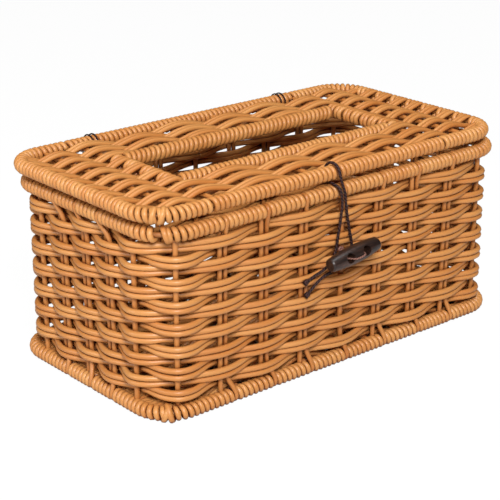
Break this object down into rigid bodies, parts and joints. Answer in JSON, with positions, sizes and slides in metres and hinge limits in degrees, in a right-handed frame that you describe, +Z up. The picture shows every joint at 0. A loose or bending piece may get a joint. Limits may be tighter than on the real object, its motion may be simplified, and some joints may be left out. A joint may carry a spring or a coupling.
{
  "type": "tissue box cover",
  "caption": "Rectangular box woven from round cane, with a hinged lid that has a long slot for drawing out tissues and a wooden toggle held by a cord loop.",
  "frame": {"origin": "on the ground under the middle of the basket, in the plane of the foot rim's flat underside", "axes": "+Z up, X along the long side, -Y towards the front where the toggle is; the lid's hinge is at +Y"},
  "size_m": [0.2527, 0.1492, 0.1141],
  "materials": {
    "cane_strands": "satin caramel cane",
    "cane_rods": "satin caramel cane",
    "cane_binding": "satin caramel cane, wound",
    "rim_rod": "plain",
    "toggle_wood": "dark stained, satin",
    "tie_cord": "waxed cord",
    "dark_cord": "round cord"
  },
  "bodies": {
    "basket": {"back_stakes": "cane_rods", "base_ribs": "cane_rods", "base_weave": "cane_strands", "body_rim_binding": "cane_binding", "body_rim_core": "rim_rod", "foot_rim_binding": "cane_binding", "foot_rim_core": "rim_rod", "front_stakes": "cane_rods", "hinge_tie_left": "dark_cord", "hinge_tie_right": "dark_cord", "left_stakes": "cane_rods", "right_stakes": "cane_rods", "weave_course_01": "cane_strands", "weave_course_02": "cane_strands", "weave_course_03": "cane_strands", "weave_course_04": "cane_strands", "weave_course_05": "cane_strands", "weave_course_06": "cane_strands", "weave_course_07": "cane_strands", "weave_course_08": "cane_strands", "weave_course_09": "cane_strands", "weave_course_10": "cane_strands", "weave_course_11": "cane_strands", "weave_course_12": "cane_strands", "weave_course_13": "cane_strands", "weave_course_14": "cane_strands"},
    "lid": {"lid_back_weave": "cane_strands", "lid_front_weave": "cane_strands", "lid_left_weave": "cane_strands", "lid_ribs": "cane_rods", "lid_right_weave": "cane_strands", "lid_rim_binding": "cane_binding", "lid_rim_core": "rim_rod", "slot_frame_binding": "cane_binding", "slot_frame_core": "rim_rod"},
    "closure_loop": {"closure_end_knots": "dark_cord", "closure_hitch": "dark_cord", "closure_left_leg": "dark_cord", "closure_right_leg": "dark_cord"},
    "toggle": {"toggle": "toggle_wood", "toggle_tie": "tie_cord"}
  },
  "joints": [
    {"name": "lid_hinge", "type": "hinge", "parent": "basket", "child": "lid", "pos_m": [0, 0.0625, 0.1082], "axis": [-1, 0, 0], "range_deg": [0, 170], "deforming": ["closure_left_leg", "closure_right_leg"]},
    {"name": "loop_swing", "type": "hinge", "parent": "lid", "child": "closure_loop", "pos_m": [-0.0089, -0.0625, 0.1082], "axis": [-1, 0, 0], "range_deg": [0, 150], "deforming": ["closure_left_leg", "closure_right_leg"]},
    {"name": "toggle_turn", "type": "hinge", "parent": "basket", "child": "toggle", "pos_m": [-0.00345, -0.0744, 0.06548], "axis": [0, -1, 0], "range_deg": [-90, 90]}
  ]
}
